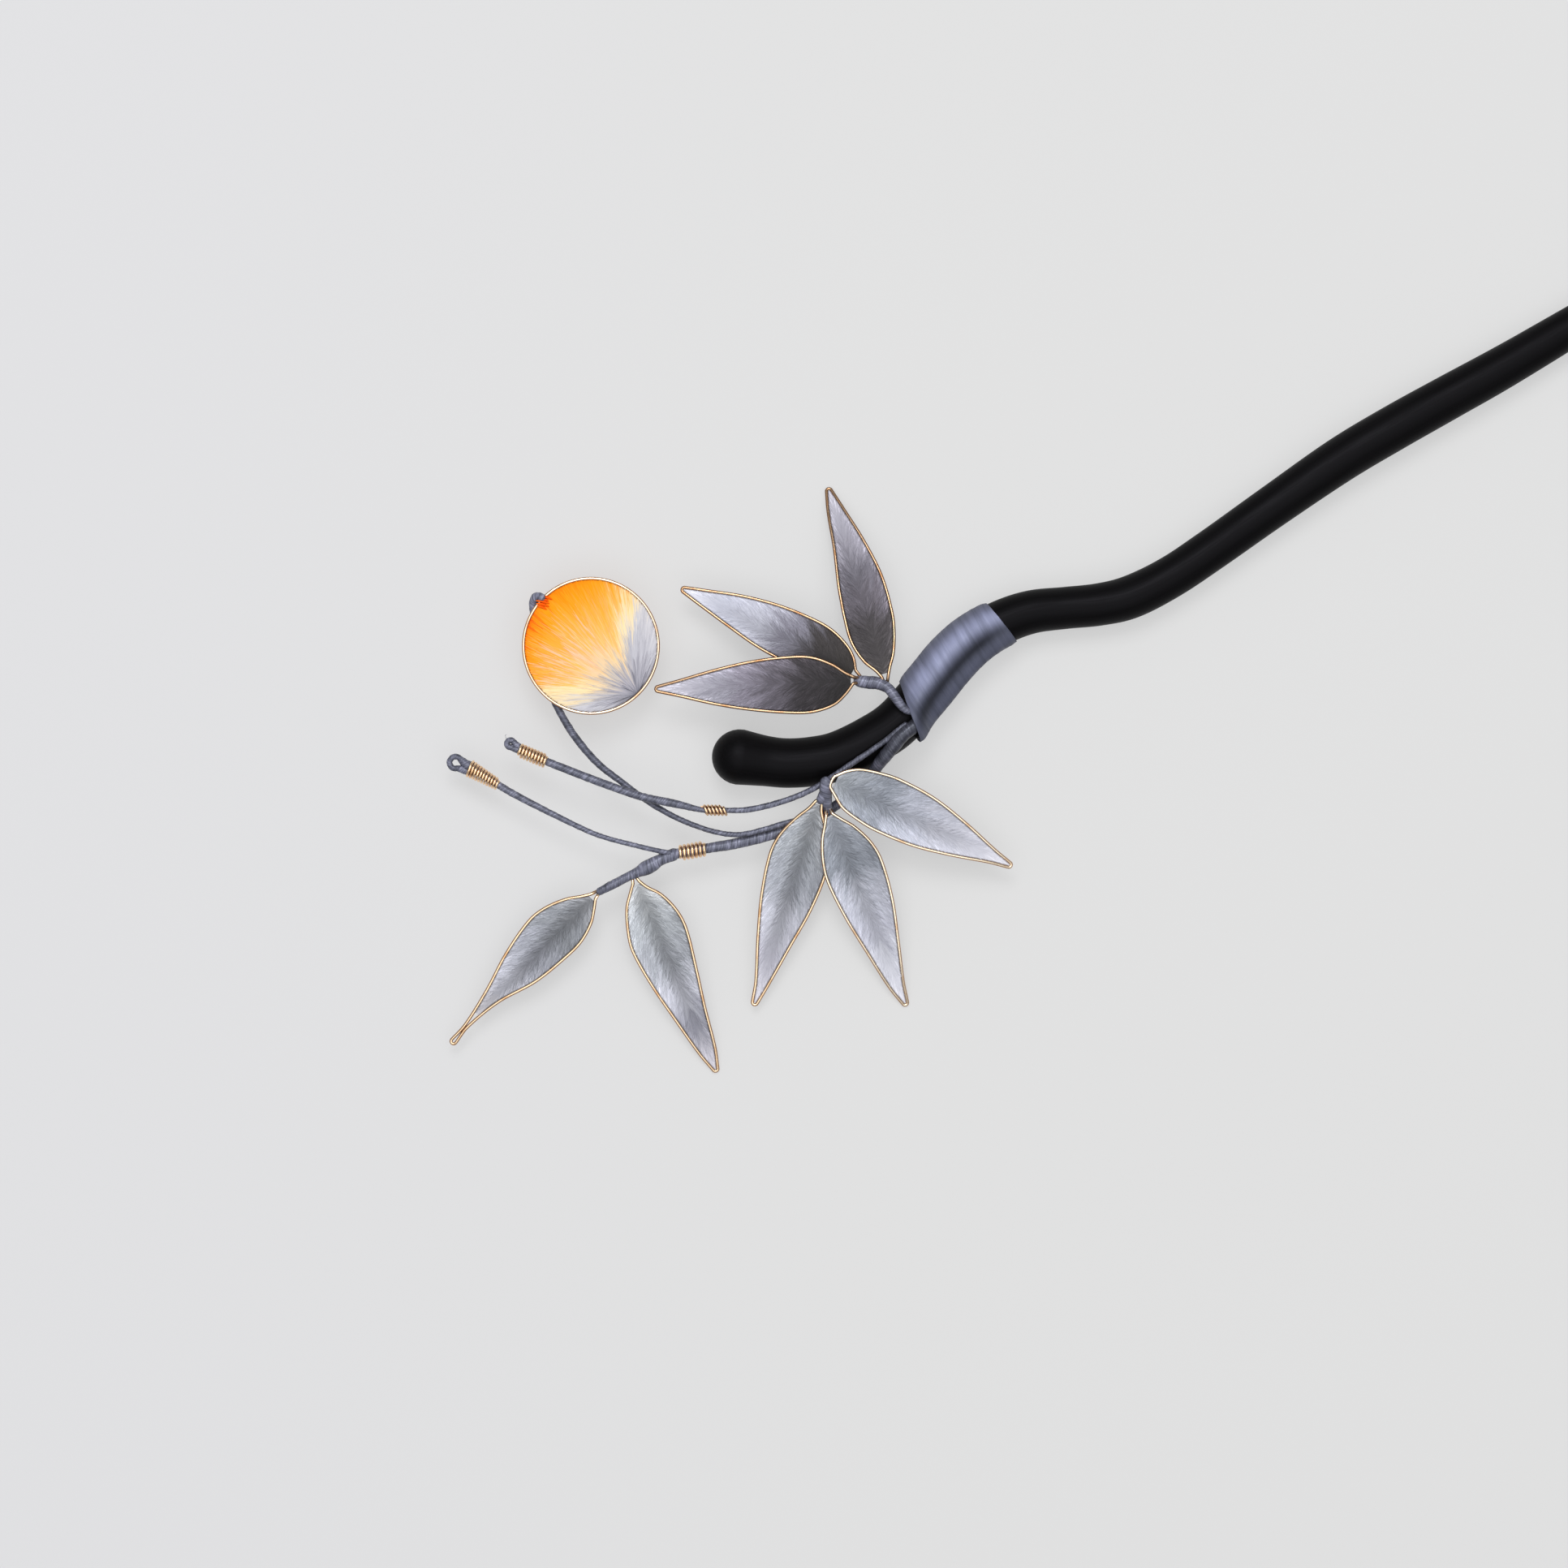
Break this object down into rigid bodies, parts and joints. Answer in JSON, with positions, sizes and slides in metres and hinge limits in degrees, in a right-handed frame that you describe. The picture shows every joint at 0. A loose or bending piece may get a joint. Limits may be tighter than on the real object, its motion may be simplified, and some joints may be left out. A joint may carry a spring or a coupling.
{
  "type": "hairpin",
  "caption": "Long S-curved wooden hair stick with silk-wound wire twigs that carry wire-edged silk leaves and a round silk disc.",
  "frame": {"origin": "under the middle of the whole piece, on the surface that it lies on", "axes": "+X along the shaft towards its plain end, +Z away from the surface, on the side that shows"},
  "size_m": [0.2421, 0.088, 0.0115],
  "materials": {
    "stick_wood": "black satin lacquer",
    "wound_silk": "wound silk floss, soft sheen",
    "gold_wire": "polished",
    "leaf_silk_dark": "pressed silk fibre, satin",
    "leaf_silk_pale": "pressed silk fibre, satin",
    "disc_silk": "pressed silk fibre, satin"
  },
  "bodies": {
    "root": {"hair_stick": "stick_wood", "binding": "wound_silk", "main_branch": "wound_silk", "spray_stem": "wound_silk", "cluster_stem": "wound_silk", "upper_twig": "wound_silk", "lower_twig": "wound_silk", "disc_stem": "wound_silk", "main_branch_coil": "gold_wire", "upper_twig_middle_coil": "gold_wire", "upper_twig_end_coil": "gold_wire", "lower_twig_end_coil": "gold_wire", "upper_leaf_1_frame": "gold_wire", "upper_leaf_2_frame": "gold_wire", "upper_leaf_3_frame": "gold_wire", "lower_leaf_1_frame": "gold_wire", "lower_leaf_2_frame": "gold_wire", "lower_leaf_3_frame": "gold_wire", "end_leaf_1_frame": "gold_wire", "end_leaf_2_frame": "gold_wire", "upper_leaf_1_silk": "leaf_silk_dark", "upper_leaf_2_silk": "leaf_silk_dark", "upper_leaf_3_silk": "leaf_silk_dark", "lower_leaf_1_silk": "leaf_silk_pale", "lower_leaf_2_silk": "leaf_silk_pale", "lower_leaf_3_silk": "leaf_silk_pale", "end_leaf_1_silk": "leaf_silk_pale", "end_leaf_2_silk": "leaf_silk_pale", "disc_ring": "gold_wire", "disc_silk": "disc_silk"}
  },
  "joints": []
}
